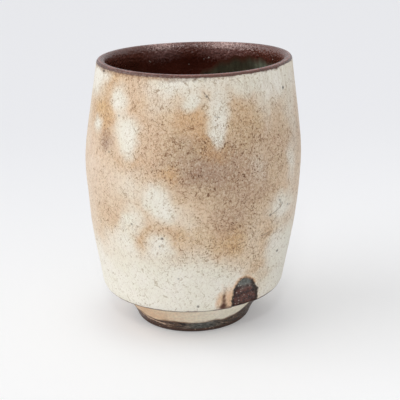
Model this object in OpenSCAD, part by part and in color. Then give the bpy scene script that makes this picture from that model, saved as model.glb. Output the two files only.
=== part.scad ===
// Yunomi, a tall tea cup with no handle, thrown on a wheel in dark, iron-rich stoneware.
// The clay, the turned foot and each coat of glaze are separate solids that lie face to face.
// Origin: on the table under the middle of the cup. +Z is up and -Y is the front of the cup.

/* [Cup] */
// Height from the table to the top of the lip
cup_h = 90; // [78:1:104]
// Outside diameter at the widest part of the belly
belly_d = 72; // [69:0.5:78]
// Height of the widest part of the belly
belly_h = 57; // [48:1:64]
// How far the lip is drawn in from the belly, on the radius
lip_inset = 4.05; // [2:0.05:7]
// How far the wall is drawn in where it stands up from the rounded bottom corner
heel_inset = 4.75; // [3:0.05:6]
// Height of that place
heel_h = 15.8; // [14.5:0.1:19]
// How far in from the belly lies the crisp edge that the turning tool left under the corner
edge_inset = 7.7; // [6.5:0.1:9]
// Height of that edge
edge_h = 11.7; // [11.4:0.1:13]

/* [Wall and floor] */
// Thickness of the lip
lip_t = 3.05; // [2.4:0.05:4]
// How far the rounding of the lip reaches down the outside
lip_drop = 1.4; // [0.8:0.1:2]
// How far the rounding of the lip reaches down the inside
lip_inner_drop = 2.4; // [1.6:0.1:3.4]
// Thickness of the wall at the belly, with its coats
wall_t = 3.9; // [3:0.1:5.5]
// How far the inside of the corner lies in from the heel
heel_wall_t = 3.7; // [3:0.1:5.5]
// Height where the inside wall starts to turn into the floor
inner_heel_h = 25; // [22:0.5:30]
// Radius of the flat part of the floor
floor_r = 15; // [10:0.5:18]
// Height of the floor inside, at the edge of its flat part
floor_h = 14.6; // [13.6:0.1:17]
// How far the middle of the floor lies below that
floor_dish = 0.6; // [0.2:0.1:1.2]
// Number of throwing rings that fingers left up the inside wall
throw_rings = 6; // [3:1:9]
// Depth of a throwing ring
throw_ring_depth = 0.3; // [0.1:0.05:0.6]

/* [Foot] */
// Height of the foot, from the table to the underside of the body
foot_h = 11; // [9:0.1:11.4]
// How far the top of the foot lies in from the crisp edge of the body
foot_top_inset = 3.3; // [2:0.1:5]
// How far the side of the foot draws in from its top to its rounded bottom edge
foot_flare = 5.3; // [2:0.1:7]
// Height of the rounded edge
foot_round_h = 1.7; // [0.9:0.1:2.5]
// Width of the rounded edge
foot_round_w = 1.9; // [1:0.1:2.8]
// How far the side of the foot is hollowed, as seen in section
foot_hollow = 0.5; // [0:0.1:1.2]
// Width of the ring that stands on the table
foot_face_w = 3.3; // [2.2:0.1:4.5]
// How far the inside of the ring draws in up to the ceiling of the recess
recess_lean = 1.7; // [1:0.1:3]
// Height of the recess at its edge
recess_h = 7.2; // [4.5:0.1:8.4]
// How much higher the recess is in its middle
recess_dome = 0.7; // [0:0.1:1.2]
// Width of the bevel round the mouth of the recess
recess_bevel = 0.8; // [0.3:0.1:1.4]
// How far the turned foot sits to the left of the body's axis
foot_shift = 1; // [0:0.1:1.5]

/* [Coats] */
// Thickness of the white glaze outside
white_t = 0.6; // [0.4:0.05:0.9]
// Thickness of the brown glaze inside and over the lip
brown_t = 0.5; // [0.35:0.05:0.8]
// Thickness of the glaze on the foot
foot_coat_t = 0.4; // [0.3:0.05:0.6]
// Height at the front of the line to which the foot was dipped in white
dip_h = 4.7; // [3:0.1:6.5]
// Tilt of the dip line
dip_tilt = 1.5; // [0:0.1:4]
// Turn from the front, to the right, of the side where the dip line stands highest
dip_angle = 48; // [0:1:80]

/* [Finger mark] */
// Width of the place where a finger held the cup in the white bath
mark_w = 9.8; // [6:0.2:14]
// Height of the top of that place above the table
mark_top_h = 23.4; // [20:0.2:28]
// Turn of that place from the front, to the right
mark_angle = 33; // [0:1:60]
// Thickness of the dark glaze in it
mark_t = 0.35; // [0.25:0.05:0.39]

/* [Ash glaze inside] */
// Turn of the run of ash glaze from the front, to the right
run_angle = 136; // [100:1:170]
// Width of the run at its top
run_w = 34; // [20:1:38]
// How far the top edge of the run lies below the lip
run_below_lip = 6; // [4:0.5:12]
// How far below that edge its rivulets part
run_fall = 22; // [19:0.5:26]
// Width of a rivulet
rivulet_w = 7.6; // [4:0.2:9]
// Lengths of the rivulets below that place, from left to right
run_lengths = [11, 19, 7]; // [4:1:24]

/* [Hidden] */
$fn = 160;

belly_r = belly_d / 2;
rim_r = belly_r - lip_inset;
heel_r = belly_r - heel_inset;
edge_r = belly_r - edge_inset;
foot_top_r = edge_r - foot_top_inset;
foot_low_r = foot_top_r - foot_flare;
foot_face_r = foot_low_r - foot_round_w;
recess_r = foot_face_r - foot_face_w;
recess_top_r = recess_r - recess_lean;
lip_start_h = cup_h - lip_drop;
inner_start_h = cup_h - lip_inner_drop;
inner_start_r = rim_r - lip_t;
inner_belly_r = belly_r - wall_t;
inner_heel_r = heel_r - heel_wall_t;
run_top_h = cup_h - run_below_lip;
run_part_h = run_top_h - run_fall;
overrun = cup_h;

// Number of straight steps that stand for each curve of the section
corner_steps = 7;
wall_steps = 20;
lip_steps = 7;
ring_steps = 7;
floor_steps = 8;

function mix(a, b, t) = a + (b - a) * t;
function bezier(p, t) = len(p) == 1 ? p[0]
    : bezier([for (i = [0 : len(p) - 2]) mix(p[i], p[i + 1], t)], t);
function curve(p, steps) = [for (i = [0 : steps]) bezier(p, i / steps)];
function after_first(p) = [for (i = [1 : len(p) - 1]) p[i]];
function backwards(p) = [for (i = [len(p) - 1 : -1 : 0]) p[i]];

// Section of the outside, from the foot to the lip
edge_pt = [edge_r, edge_h];
heel_pt = [heel_r, heel_h];
belly_pt = [belly_r, belly_h];
lip_pt = [rim_r, lip_start_h];
// Shares of the way, across and up, that place each curve's control points
corner_shares = [0.9, 0.1];
heel_shares = [0.43, 0.32];
belly_below_share = 0.68;
belly_above_share = 0.22;
shoulder_shares = [0.69, 0.7];
function between(a, b, shares) = [mix(a[0], b[0], shares[0]), mix(a[1], b[1], shares[1])];

shoulder_pt = between(belly_pt, lip_pt, shoulder_shares);
corner_line = curve([edge_pt, between(edge_pt, heel_pt, corner_shares), heel_pt], corner_steps);
lower_line = curve([heel_pt, between(heel_pt, belly_pt, heel_shares),
    between(heel_pt, belly_pt, [1, belly_below_share]), belly_pt], wall_steps);
upper_line = curve([belly_pt, between(belly_pt, lip_pt, [0, belly_above_share]), shoulder_pt, lip_pt],
    wall_steps);
outside = concat([[foot_top_r, foot_h]], corner_line, after_first(lower_line), after_first(upper_line));

// Section of the lip, which goes on in the direction of the wall and rolls over
crest_share = 0.45;
wall_slope = (lip_pt[0] - shoulder_pt[0]) / (lip_pt[1] - shoulder_pt[1]);
crest_pt = [rim_r - crest_share * lip_t, cup_h];
inner_start_pt = [inner_start_r, inner_start_h];
lip_line = concat(
    curve([lip_pt, [rim_r + wall_slope * lip_drop, cup_h], crest_pt], lip_steps),
    after_first(curve([crest_pt, [inner_start_r, cup_h], inner_start_pt], lip_steps)));

// Section of the inside, from the lip down to the middle of the floor, with its throwing rings
inner_belly_pt = [inner_belly_r, belly_h];
inner_heel_pt = [inner_heel_r, inner_heel_h];
inner_wall_ctrl = [inner_start_pt,
    between(inner_start_pt, inner_belly_pt, [0.5, 0.4]),
    between(inner_start_pt, inner_belly_pt, [1, 0.75]),
    inner_belly_pt,
    between(inner_belly_pt, inner_heel_pt, [0.1, 0.35]),
    between(inner_belly_pt, inner_heel_pt, [0.75, 0.65]),
    inner_heel_pt];
ring_count_steps = throw_rings * ring_steps;
inner_wall_line = [for (i = [0 : ring_count_steps])
    bezier(inner_wall_ctrl, i / ring_count_steps)
        + [throw_ring_depth / 2 * (1 - cos(360 * i / ring_steps)), 0]];
inner_corner_line = curve([inner_heel_pt, [inner_heel_r, mix(inner_heel_h, floor_h, 0.55)],
    [mix(floor_r, inner_heel_r, 0.6), floor_h], [floor_r, floor_h]], floor_steps);
floor_line = curve([[floor_r, floor_h], [mix(0, floor_r, 0.6), floor_h],
    [mix(0, floor_r, 0.4), floor_h - floor_dish], [0, floor_h - floor_dish]], floor_steps);
inside = concat(inner_wall_line, after_first(inner_corner_line), after_first(floor_line));

// The whole skin of the body, and the same line sunk into the clay by the thickness of a coat
skin = concat(outside, after_first(lip_line), after_first(inside));
white_last = len(outside) - 1;
lip_last = white_last + len(lip_line) - 1;
skin_last = len(skin) - 1;
function heading(p, i) = p[min(i + 1, len(p) - 1)] - p[max(i - 1, 0)];
function inward(p, i) = i == 0 ? [0, 1] : i == len(p) - 1 ? [0, -1]
    : [-heading(p, i)[1], heading(p, i)[0]] / norm(heading(p, i));
function sunk(p, first, last, depth) = [for (i = [first : last]) p[i] + inward(p, i) * depth];

// Section of the foot's side, from the table up
foot_face_pt = [foot_face_r, 0];
foot_low_pt = [foot_low_r, foot_round_h];
foot_top_pt = [foot_top_r, foot_h];
foot_mid_pt = between(foot_low_pt, foot_top_pt, [0.5, 0.5]) - [foot_hollow, 0];
foot_skin = concat(
    curve([foot_face_pt, [mix(foot_face_pt[0], foot_low_pt[0], 0.75), 0], foot_low_pt], corner_steps),
    after_first(curve([foot_low_pt, foot_mid_pt, foot_top_pt], corner_steps)));
// Everything from the top of the rounded edge up to the body carries a coat, set in level
foot_side = [for (i = [corner_steps : len(foot_skin) - 1]) foot_skin[i]];
foot_clay_side = [for (p = foot_side) p - [foot_coat_t, 0]];

// A solid turned from the section between two lines
module turned(outer, inner) {
    rotate_extrude() polygon(concat(outer, backwards(inner)));
}

// A coat over the body's skin, between two depths
module body_coat(first, last, top, bottom) {
    turned(sunk(skin, first, last, top), sunk(skin, first, last, bottom));
}

// An upright outline carried outwards through the wall, turned to its place round the cup
module through_wall(angle, from_r) {
    rotate([0, 0, angle]) translate([0, -from_r, 0]) rotate([90, 0, 0])
        linear_extrude(height = overrun) children();
}

// Outline of a fingertip, open downwards past the bottom edge of the body
module fingertip() {
    translate([0, mark_top_h - mark_w / 2]) circle(d = mark_w);
    translate([-mark_w / 2, foot_h / 2]) square([mark_w, mark_top_h - mark_w / 2 - foot_h / 2]);
}

// The window that the finger left in the white glaze, on the wall and its edge alone
module mark_window() {
    through_wall(mark_angle, edge_r - 2 * white_t) fingertip();
}

// Outline of the ash glaze: a broad cap with rivulets that run down and end in round drops
module run_outline() {
    count = len(run_lengths);
    pitch = run_w / count;
    translate([0, run_top_h - run_w / 2]) intersection() {
        circle(d = run_w);
        translate([-run_w / 2, 0]) square([run_w, run_w / 2]);
    }
    translate([-run_w / 2, run_part_h]) square([run_w, run_top_h - run_w / 2 - run_part_h]);
    for (i = [0 : count - 1]) translate([(i + 0.5) * pitch - run_w / 2, run_part_h]) {
        translate([-rivulet_w / 2, -run_lengths[i]]) square([rivulet_w, run_lengths[i] + rivulet_w / 2]);
        translate([0, -run_lengths[i]]) circle(d = rivulet_w);
    }
}

module run_window() {
    through_wall(run_angle, 0) run_outline();
}

// Wall and floor of dark stoneware, thrown in one piece
module clay_body() {
    color("#5b4038") turned(
        concat(sunk(skin, 0, white_last, white_t), sunk(skin, white_last, lip_last, brown_t),
            sunk(skin, lip_last, skin_last, brown_t)),
        [[foot_top_r, foot_h], [0, foot_h]]);
}

// Foot turned out of the thick base, with a domed recess inside its ring
module foot_ring() {
    color("#503c34") translate([-foot_shift, 0, 0]) turned(
        concat([for (i = [0 : corner_steps]) foot_skin[i]], foot_clay_side),
        concat([[recess_r, 0], [recess_r - recess_bevel / 2, recess_bevel]],
            curve([[recess_top_r, recess_h], [recess_top_r / 2, recess_h + recess_dome],
                [0, recess_h + recess_dome]], floor_steps),
            [[0, foot_h]]));
}

// White glaze outside, from the foot over the bottom edge and up to the lip
module white_glaze() {
    color("#e6dccd") difference() {
        body_coat(0, white_last, 0, white_t);
        mark_window();
    }
}

// Dark glaze on the clay that the finger kept free of white
module finger_mark() {
    color("#4a2f2c") intersection() {
        body_coat(0, white_last, white_t - mark_t, white_t);
        mark_window();
    }
}

// Brown glaze over the lip, thin and lighter than inside
module lip_glaze() {
    color("#7c6559") body_coat(white_last, lip_last, 0, brown_t);
}

// Dark brown glaze down the inside wall and over the floor
module inner_glaze() {
    color("#3f2724") difference() {
        body_coat(lip_last, skin_last, 0, brown_t);
        run_window();
    }
}

// Grey-green ash glaze that ran down inside
module ash_glaze() {
    color("#575040") intersection() {
        body_coat(lip_last, skin_last, 0, brown_t);
        run_window();
    }
}

// All that lies above the tilted line to which the foot was dipped
module above_dip() {
    rotate([0, 0, dip_angle]) translate([0, 0, dip_h]) rotate([-dip_tilt, 0, 0])
        translate([-overrun, -overrun, 0]) cube([2 * overrun, 2 * overrun, overrun]);
}

module foot_coat() {
    turned(foot_side, foot_clay_side);
}

// White glaze on the upper part of the foot
module foot_white_glaze() {
    color("#d3c3a8") translate([-foot_shift, 0, 0]) intersection() {
        foot_coat();
        above_dip();
    }
}

// Dark, glassy coat on the lower part of the foot, down to the wiped clay
module foot_dark_glaze() {
    color("#4c4038") translate([-foot_shift, 0, 0]) difference() {
        foot_coat();
        above_dip();
    }
}

clay_body();
foot_ring();
white_glaze();
finger_mark();
lip_glaze();
inner_glaze();
ash_glaze();
foot_white_glaze();
foot_dark_glaze();
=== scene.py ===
"""A yunomi, a tall tea cup: thrown and turned in dark stoneware, glazed white outside and brown inside."""
import math
import bpy
import numpy as np
from mathutils import Matrix, Vector, noise


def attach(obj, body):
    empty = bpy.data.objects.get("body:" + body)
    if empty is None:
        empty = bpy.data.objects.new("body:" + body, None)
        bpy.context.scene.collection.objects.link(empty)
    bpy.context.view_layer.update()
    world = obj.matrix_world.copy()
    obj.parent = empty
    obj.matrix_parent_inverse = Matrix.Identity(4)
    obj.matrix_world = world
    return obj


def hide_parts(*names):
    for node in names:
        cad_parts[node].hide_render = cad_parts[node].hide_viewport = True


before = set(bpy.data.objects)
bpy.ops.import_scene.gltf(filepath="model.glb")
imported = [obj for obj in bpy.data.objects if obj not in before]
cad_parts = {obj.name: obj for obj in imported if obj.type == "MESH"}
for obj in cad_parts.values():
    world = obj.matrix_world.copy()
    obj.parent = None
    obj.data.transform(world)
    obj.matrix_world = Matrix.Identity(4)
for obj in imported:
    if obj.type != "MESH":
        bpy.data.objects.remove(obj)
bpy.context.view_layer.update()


# The thrown body: wall, floor and lip of dark, iron-rich stoneware, drawn up on a wheel in one piece.
# All sections are drawn in mm, as (radius, height), and each coat of glaze follows this one.
def curve(points, count=40):
    """A smooth line from the first point to the last, drawn towards those between."""
    line = []
    for step in range(count + 1):
        held = [Vector(p) for p in points]
        while len(held) > 1:
            held = [a.lerp(b, step / count) for a, b in zip(held, held[1:])]
        line.append(held[0])
    return line


def evenly(line, spacing):
    """The same line, with its points an even distance apart."""
    run = [0.0]
    for a, b in zip(line, line[1:]):
        run.append(run[-1] + (b - a).length)
    marks = np.linspace(0, run[-1], max(2, round(run[-1] / spacing)) + 1)
    across = np.interp(marks, run, [p.x for p in line])
    up = np.interp(marks, run, [p.y for p in line])
    return [Vector(p) for p in zip(across, up)]


def sunk(line, depth):
    """The line moved into the clay by the thickness of a coat."""
    moved = []
    for i, p in enumerate(line):
        way = line[min(i + 1, len(line) - 1)] - line[max(i - 1, 0)]
        moved.append(p + Vector((-way.y, way.x)).normalized() * depth)
    return moved


def named(name):
    """The object that was just made, under its name."""
    piece = bpy.context.object
    piece.name = name
    piece.data.name = name
    return piece


def faced():
    """Ends the making of a mesh: its faces look outward, and only edges over 40 degrees stay crisp."""
    bpy.ops.object.mode_set(mode="EDIT")
    bpy.ops.mesh.select_all(action="SELECT")
    bpy.ops.mesh.normals_make_consistent(inside=False)
    bpy.ops.object.mode_set(mode="OBJECT")
    bpy.ops.object.shade_smooth_by_angle(angle=math.radians(40))


def turned(name, section, steps):
    """Draws the section from point to point and spins it round the cup's axis."""
    bpy.ops.object.select_all(action="DESELECT")
    bpy.ops.mesh.primitive_plane_add(size=0.001, location=(0, 0, 0))
    piece = named(name)
    points = [Vector((p.x, 0, p.y)) / 1000 for p in section]
    bpy.ops.object.mode_set(mode="EDIT")
    bpy.ops.mesh.select_all(action="SELECT")
    bpy.ops.mesh.merge(type="CENTER")
    bpy.ops.transform.translate(value=points[0])
    for a, b in zip(points, points[1:]):
        bpy.ops.mesh.extrude_vertices_move(TRANSFORM_OT_translate={"value": b - a})
    bpy.ops.mesh.select_all(action="SELECT")
    bpy.ops.mesh.spin(steps=steps, angle=math.tau, use_auto_merge=True, center=(0, 0, 0), axis=(0, 0, 1))
    bpy.ops.mesh.select_all(action="SELECT")
    bpy.ops.mesh.remove_doubles(threshold=0.000002)
    faced()
    return piece


def places(piece):
    """The piece's points in mm, one row each."""
    flat = np.empty(len(piece.data.vertices) * 3)
    piece.data.vertices.foreach_get("co", flat)
    return flat.reshape(-1, 3) * 1000


def put(piece, points):
    """Gives the piece's points new places, in mm."""
    piece.data.vertices.foreach_set("co", (np.asarray(points) / 1000).ravel())
    piece.data.update()


def round_the_cup(points):
    """Degrees from the front, to the right, and radius, of each point."""
    return np.degrees(np.arctan2(points[:, 0], -points[:, 1])), np.hypot(points[:, 0], points[:, 1])


def uneven(points, size, shift=(0, 0, 0)):
    """A smooth random value from -1 to 1 at each point, the same in each run, in lumps of a size in mm."""
    return np.array([noise.noise(Vector(p) / size + Vector(shift)) for p in points])


def as_thrown(points):
    """Moves points of the even form to where the potter's hands left them: a dent at the left, a fuller
    wall below the belly, a body that leans to the right as it rises, and a lip that dips front and back."""
    turn, radius = round_the_cup(points)
    around, height = np.radians(turn), points[:, 2]
    dent_turn, dent_height = -86, 46
    dent_tall = np.where(height > dent_height, 3.4, 8.0)
    dent = 0.22 * np.exp(-(((turn - dent_turn) / 27) ** 2) - ((height - dent_height) / dent_tall) ** 2)
    fuller = 0.28 * np.exp(-(((height - 34) / 14) ** 2))
    share = 1 + (fuller - dent - 0.03 * (1 + uneven(points, 19))) / np.maximum(radius, 8)
    lean = np.where(height > belly[1], 0.0335, 0.0265)
    near_top = np.clip((height - 72) / 18, 0, 1) ** 2
    lip_dip = 0.24 * (1 + np.cos(2 * around - 0.2)) + 0.1 * (1 - np.cos(around))
    moved = np.empty_like(points)
    moved[:, 0] = points[:, 0] * share + lean * (height - belly[1])
    moved[:, 1] = points[:, 1] * share
    moved[:, 2] = height - near_top * lip_dip
    return moved


foot_joint = (25.0, 11.0)
bottom_edge = (28.3, 11.7)
heel = (31.25, 15.8)
belly = (36.0, 57.0)
lip_outside = (31.95, 88.6)
crest = (30.58, 90.0)
lip_inside = (28.9, 87.6)
outside = curve([foot_joint, bottom_edge], 4)
outside += curve([bottom_edge, (30.955, 12.11), heel])[1:]
outside += curve([heel, (33.29, 28.98), (36.0, 43.82), belly])[1:]
outside += curve([belly, (36.0, 63.95), (33.2, 79.1), lip_outside])[1:]
over_lip = curve([lip_outside, (31.76, 90.0), crest], 16) + curve([crest, (28.9, 90.0), lip_inside], 16)[1:]
inside = curve([lip_inside, (30.5, 75.36), (32.1, 64.65), (32.1, 57.0),
                (31.65, 45.8), (28.69, 36.2), (27.55, 25.0)], 84)
cup_floor = 14.0
ring_depth, ring_steps = 0.15, 14
for i, p in enumerate(inside):
    p.x += ring_depth * (1 - math.cos(math.tau * i / ring_steps))
inside += curve([(27.55, 25.0), (27.55, 19.28), (22.53, 14.6), (15.0, 14.6)], 20)[1:]
inside += curve([(15.0, 14.6), (9.0, 14.6), (6.0, cup_floor), (0.0, cup_floor)], 12)[1:]

white_thick, brown_thick, gap = 0.6, 0.5, 0.02
body_skin = [Vector((0.0, foot_joint[1])), Vector(foot_joint)] + sunk(outside, white_thick + gap)
body_skin += sunk(over_lip, brown_thick + gap)[1:] + sunk(inside, brown_thick + gap)[1:-1]
body_skin += [Vector((0.0, cup_floor - brown_thick - gap))]
thrown_clay = turned("thrown_clay", evenly(body_skin, 1.4), 180)
put(thrown_clay, as_thrown(places(thrown_clay)))


def paint(code):
    """An sRGB hex colour as the linear colour that a node takes."""
    parts = [int(code[i:i + 2], 16) / 255 for i in (1, 3, 5)]
    return [c / 12.92 if c <= 0.04045 else ((c + 0.055) / 1.055) ** 2.4 for c in parts] + [1.0]


def add(tree, kind, settings, sockets, output=0):
    """Adds a node with its settings and a value or link for each socket, and gives back an output of it."""
    node = tree.nodes.new("ShaderNode" + kind)
    for name, value in settings.items():
        setattr(node, name, value)
    for socket, value in sockets.items():
        if isinstance(value, bpy.types.NodeSocket):
            tree.links.new(value, node.inputs[socket])
        else:
            node.inputs[socket].default_value = value
    return node.outputs[output]


def fired(name):
    """A new material, its node tree, and the place of each point of the piece that wears it."""
    material = bpy.data.materials.new(name)
    material.use_nodes = True
    tree = material.node_tree
    return material, tree, add(tree, "TexCoord", {}, {}, "Object")


def strewn(tree, colour, tone, place, spacing, core, rim, most=1.0, kept=1.0):
    """Strews grains of a tone over the colour, a spacing in mm apart. Each fades out from core to rim,
    and only the kept share of them shows."""
    away = add(tree, "TexVoronoi", {}, {"Vector": place, "Scale": 1000 / spacing})
    grain = add(tree, "MapRange", {}, {"Value": away, "From Min": rim, "From Max": core, "To Max": most})
    grain = add(tree, "Math", {"operation": "MULTIPLY"}, {0: grain, 1: kept})
    return add(tree, "Mix", {"data_type": "RGBA"}, {0: grain, 6: colour, 7: paint(tone)}, 2)


def lay(piece, material, colour, relief, strength, deep, values):
    """Gives the material its colour, its fine relief, deep in metres, and its values, and lays it on."""
    tree = material.node_tree
    shader = tree.nodes["Principled BSDF"]
    skin = add(tree, "Bump", {}, {"Strength": strength, "Distance": deep, "Height": relief})
    tree.links.new(colour, shader.inputs["Base Color"])
    tree.links.new(skin, shader.inputs["Normal"])
    for socket, value in values.items():
        shader.inputs[socket].default_value = value
    piece.data.materials.append(material)


# Iron-rich stoneware, fired bare: dull red-brown, gritty, with pale grains of feldspar about 0.5 mm.
stoneware, tree, place = fired("fired_stoneware")
cloud = add(tree, "TexNoise", {}, {"Vector": place, "Scale": 1000 / 6, "Detail": 6.0})
grit = add(tree, "TexNoise", {}, {"Vector": place, "Scale": 1000 / 0.7, "Detail": 3.0})
colour = add(tree, "Mix", {"data_type": "RGBA"}, {0: cloud, 6: paint("#4a3129"), 7: paint("#6b4a3c")}, 2)
colour = strewn(tree, colour, "#a58f79", place, 2.2, 0.1, 0.16)
lay(thrown_clay, stoneware, colour, grit, 0.5, 0.00015, {"Roughness": 0.85})
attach(thrown_clay, "root")
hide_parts("clay_body")


# The turned foot: a ring left standing when the thick base was trimmed upside down with a looped tool.
# The same stoneware, wiped clean of glaze underneath, with the tool's rings in its domed recess.
foot_low = (19.7, 1.7)
band_thick = Vector((0.4, 0))
foot_side = curve([foot_low, (21.85, 6.35), foot_joint], 30)
foot_section = [Vector((0.0, foot_joint[1])), Vector(foot_joint) - band_thick]
foot_section += [p - band_thick for p in reversed(foot_side)]
foot_section += curve([foot_low, (19.23, 0.0), (17.8, 0.0)], 8)
foot_section += [Vector((14.5, 0.0)), Vector((14.1, 0.8)), Vector((12.8, 7.2))]
foot_section += curve([(12.8, 7.2), (6.4, 7.9), (0.0, 7.9)], 8)[1:]
turned_foot = turned("turned_foot", evenly(foot_section, 0.55), 240)
foot_left, flare_right = 1.15, 1.6


def as_turned(points):
    """Moves points of the even foot to where it sits, left of the body's axis, flared out at its right."""
    moved = points.copy()
    upper = np.clip((points[:, 2] - 5) / 6, 0, 1)
    right = np.clip(np.sin(np.radians(round_the_cup(points)[0])), 0, 1)
    moved[:, 0] += flare_right * upper * right - foot_left
    return moved


points = places(turned_foot)
turn, radius = round_the_cup(points)
recess_top = (points[:, 2] > 5.5) & (points[:, 2] < 9) & (radius < 12.6)
tool_step = 1.9
points[:, 2] += np.where(recess_top, 0.1 * np.sin(radius * math.tau / tool_step), 0)
put(turned_foot, as_turned(points))

# Turned stoneware: darker where the tool pressed it smooth, in rings about 0.6 mm apart.
turned_clay, tree, place = fired("turned_stoneware")
centred = add(tree, "Mapping", {}, {"Vector": place, "Location": (foot_left / 1000, 0, 0)})
rings = add(tree, "TexWave", {"wave_type": "RINGS", "rings_direction": "Z"},
            {"Vector": centred, "Scale": 1000 / 0.6 / 20, "Distortion": 1.5, "Detail": 2.0,
             "Detail Scale": 3.0}, "Fac")
cloud = add(tree, "TexNoise", {}, {"Vector": place, "Scale": 1000 / 5, "Detail": 6.0})
colour = add(tree, "Mix", {"data_type": "RGBA"}, {0: cloud, 6: paint("#3d2a23"), 7: paint("#6a4b3c")}, 2)
colour = add(tree, "Mix", {"data_type": "RGBA", "blend_type": "MULTIPLY"}, {0: 0.35, 6: colour, 7: rings}, 2)
colour = strewn(tree, colour, "#98826c", place, 1.8, 0.1, 0.17)
lay(turned_foot, turned_clay, colour, rings, 0.5, 0.0002, {"Roughness": 0.78})
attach(turned_foot, "root")
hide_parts("foot_ring")


# The white glaze: a milky ash glaze over the whole outside, crackled all over, from one dip in the bath.
# The kiln's flame toned it tan and brown and left pale clouds; thin at its edges, it is stained brown, and
# round the bottom corner that brown is also painted shade.
white_top = 89.35
white_skin = evenly(outside + [p for p in over_lip[1:17] if p.y < white_top], 0.55)
white_under = evenly(sunk(white_skin, white_thick), 1.6)
white_coat = turned("white_coat", white_skin + white_under[::-1] + white_skin[:1], 360)


def wall_height(radius, height):
    """Height along the wall, which below the heel goes on counting down round the bottom corner."""
    heel_out, heel_up = heel
    round_corner = heel_up + 0.8 * (height - heel_up + np.minimum(radius, heel_out) - heel_out)
    return np.where(height < heel_up, round_corner, height)


low_wall_radius = 31.2
finger_turn, finger_lean, finger_wide = 32.6, 0.3, 5.2
finger_middle, finger_round, finger_tall = 17.0, 12.7, 10.5


def over_fingertip(turn, level):
    """Distance in mm outside the place where a finger held the cup; below zero is inside it.

    The place is an arch, round above its straight part, that leans to the left as it rises."""
    above = np.maximum(level - finger_round, 0)
    across = np.radians(turn - finger_turn + finger_lean * (level - finger_middle)) * low_wall_radius
    across += 0.14 * np.sin(level * 1.7) + 0.1 * np.sin(level * 4.3 + turn)
    reach = np.hypot(across / finger_wide, above / finger_tall)
    steep = np.hypot(across / finger_wide ** 2, above / finger_tall ** 2)
    return reach * (reach - 1) / np.maximum(steep, 0.02)


def marked(turn, level, marks, soft):
    """How far inside the marks each point is, from 0 to 1.

    A mark is: degrees from the front, height, half its width in degrees, half its height, strength."""
    clear = np.ones(len(turn))
    for at, up, wide, tall, strength in marks:
        away = np.hypot(((turn - at + 180) % 360 - 180) / wide, (level - up) / tall)
        clear *= 1 - strength * np.clip((1 + soft - away) / (2 * soft), 0, 1)
    return 1 - clear


def beside(turn, level, lines):
    """Distance in mm from the nearest of the drawn lines, each given by turn and level of its ends."""
    wall_radius = 34
    spot = np.stack([np.radians(turn) * wall_radius, level], axis=1)
    nearest = np.full(len(spot), 99.0)
    for turn_a, level_a, turn_b, level_b in lines:
        start = np.array([math.radians(turn_a) * wall_radius, level_a])
        way = np.array([math.radians(turn_b) * wall_radius, level_b]) - start
        share = np.clip((spot - start) @ way / (way @ way), 0, 1)
        nearest = np.minimum(nearest, np.linalg.norm(spot - start - share[:, None] * way, axis=1))
    return nearest


pin_holes = [(57.5, 82.4, 0.8, 0.42, 1), (55, 28.7, 0.8, 0.42, 0.9), (50.5, 47.2, 0.6, 0.35, 0.7),
             (6.6, 83.4, 0.7, 0.4, 0.7), (-62, 88.4, 1.0, 0.4, 1), (-16, 39, 0.6, 0.35, 0.9),
             (-17.5, 36.2, 0.5, 0.3, 0.6), (-43, 76.2, 0.5, 0.3, 0.7), (-48, 64.5, 0.5, 0.3, 0.7),
             (43.6, 43.2, 0.7, 0.4, 0.7), (59, 44.3, 0.6, 0.35, 0.6), (-33, 42.6, 0.5, 0.3, 0.7),
             (3, 14.8, 0.7, 0.4, 0.8), (-8, 25, 0.5, 0.3, 0.5), (160, 62, 0.8, 0.45, 1),
             (-130, 30, 0.8, 0.45, 1)]
hair_cracks = [(5.2, 84.7, 8.2, 82.0), (50.5, 47.2, 52.6, 46.0), (43.6, 43.2, 49, 44.0),
               (49, 44.0, 54, 45.6), (38.5, 36.9, 46, 37.4), (40.5, 35.4, 43, 36.7), (10.5, 77.2, 13, 76.8)]

# Its faces are cut finer round the finger mark, the pin holes and the hair cracks.
bpy.ops.object.mode_set(mode="EDIT")
bpy.ops.mesh.select_mode(type="FACE")
for cuts in (1, 2):
    bpy.ops.mesh.select_all(action="DESELECT")
    bpy.ops.object.mode_set(mode="OBJECT")
    faces = white_coat.data.polygons
    middles = np.array([face.center for face in faces]) * 1000
    facing = np.array([face.normal.dot((face.center.x, face.center.y, 0)) > 0 for face in faces])
    turn, radius = round_the_cup(middles)
    if cuts == 1:
        chosen = facing & (turn > 13) & (turn < 52) & (middles[:, 2] < 27)
    else:
        spots = [(at - 0.1, up, at + 0.1, up) for at, up, wide, tall, strength in pin_holes]
        chosen = facing & (beside(turn, middles[:, 2], spots + hair_cracks) < 0.9)
    faces.foreach_set("select", chosen)
    bpy.ops.object.mode_set(mode="EDIT")
    bpy.ops.mesh.subdivide(number_cuts=cuts)
bpy.ops.mesh.select_mode(type="VERT")
bpy.ops.object.mode_set(mode="OBJECT")

# Its skin dips under the finger's place and ripples a little all over.
points = places(white_coat)
turn, radius = round_the_cup(points)
level = wall_height(radius, points[:, 2])
corner_points = 12
wall_skin = white_skin[corner_points:]
skin_radius = np.interp(points[:, 2], [p.y for p in wall_skin], [p.x for p in wall_skin])
on_skin = (radius > skin_radius - 0.2) | (points[:, 2] < 13)
finger_depth, finger_slope = 0.46, 0.75
in_finger = np.clip(-over_fingertip(turn, level) / finger_slope, 0, 1)
dip = finger_depth * in_finger ** 2 * (3 - 2 * in_finger) * on_skin
dip += 0.035 * (1 + uneven(points, 2.6) + 0.6 * uneven(points, 7)) * on_skin
points[:, :2] *= (1 - dip / np.maximum(radius, 1))[:, None]
put(white_coat, as_thrown(points))

warp_turn = uneven(points, 5, (7, 0, 0)) + 0.5 * uneven(points, 2.1)
warp_level = uneven(points, 5, (0, 9, 0)) + 0.5 * uneven(points, 2.1, (3, 0, 0))
torn_turn = turn + 2.6 * warp_turn
torn_level = level + 1.4 * warp_level

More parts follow.
